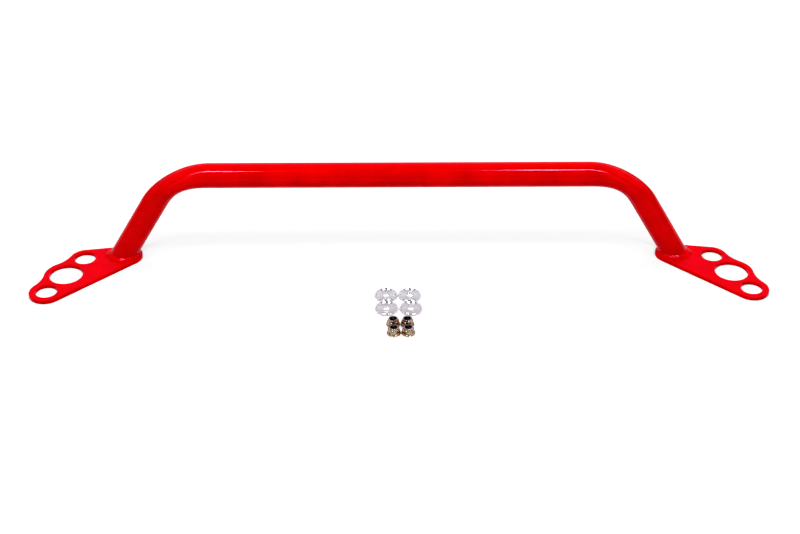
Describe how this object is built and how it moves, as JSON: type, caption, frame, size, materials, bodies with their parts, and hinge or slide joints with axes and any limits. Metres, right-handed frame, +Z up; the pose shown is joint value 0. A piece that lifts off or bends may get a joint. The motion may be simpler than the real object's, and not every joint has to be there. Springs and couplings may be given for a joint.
{
  "type": "strut tower brace",
  "caption": "Bent round-tube brace with a flat three-hole plate welded to each end and loose centring washers and flange nuts; ties a car's two strut towers together.",
  "frame": {"origin": "middle of the kit left to right and front to back, on the plane the plates, washers and nuts stand on", "axes": "+X towards the brace's right end, +Y towards its rear (the side away from the washers and nuts), +Z up"},
  "size_m": [0.9376, 0.1988, 0.1395],
  "materials": {
    "red_powder_coat": "gloss powder coat",
    "red_coated_weld": "gloss powder coat over a rippled weld",
    "turned_aluminium": "bright turned",
    "yellow_zinc": "yellow zinc plated"
  },
  "bodies": {
    "brace": {"brace_tube": "red_powder_coat", "left_end_plate": "red_powder_coat", "right_end_plate": "red_powder_coat", "left_weld_bead": "red_coated_weld", "right_weld_bead": "red_coated_weld"},
    "front_left_washer": {"front_left_washer": "turned_aluminium"},
    "front_right_washer": {"front_right_washer": "turned_aluminium"},
    "rear_left_washer": {"rear_left_washer": "turned_aluminium"},
    "rear_right_washer": {"rear_right_washer": "turned_aluminium"},
    "front_left_nut": {"front_left_nut": "yellow_zinc"},
    "front_right_nut": {"front_right_nut": "yellow_zinc"},
    "rear_left_nut": {"rear_left_nut": "yellow_zinc"},
    "rear_right_nut": {"rear_right_nut": "yellow_zinc"}
  },
  "joints": [
    {"name": "front_left_washer_lift", "type": "slide", "parent": "brace", "child": "front_left_washer", "axis": [0, 0, 1], "range_m": [0, 0.1]},
    {"name": "front_right_washer_lift", "type": "slide", "parent": "brace", "child": "front_right_washer", "axis": [0, 0, 1], "range_m": [0, 0.1]},
    {"name": "rear_left_washer_lift", "type": "slide", "parent": "brace", "child": "rear_left_washer", "axis": [0, 0, 1], "range_m": [0, 0.1]},
    {"name": "rear_right_washer_lift", "type": "slide", "parent": "brace", "child": "rear_right_washer", "axis": [0, 0, 1], "range_m": [0, 0.1]},
    {"name": "front_left_nut_lift", "type": "slide", "parent": "brace", "child": "front_left_nut", "axis": [0, 0, 1], "range_m": [0, 0.1]},
    {"name": "front_right_nut_lift", "type": "slide", "parent": "brace", "child": "front_right_nut", "axis": [0, 0, 1], "range_m": [0, 0.1]},
    {"name": "rear_left_nut_lift", "type": "slide", "parent": "brace", "child": "rear_left_nut", "axis": [0, 0, 1], "range_m": [0, 0.1]},
    {"name": "rear_right_nut_lift", "type": "slide", "parent": "brace", "child": "rear_right_nut", "axis": [0, 0, 1], "range_m": [0, 0.1]}
  ]
}
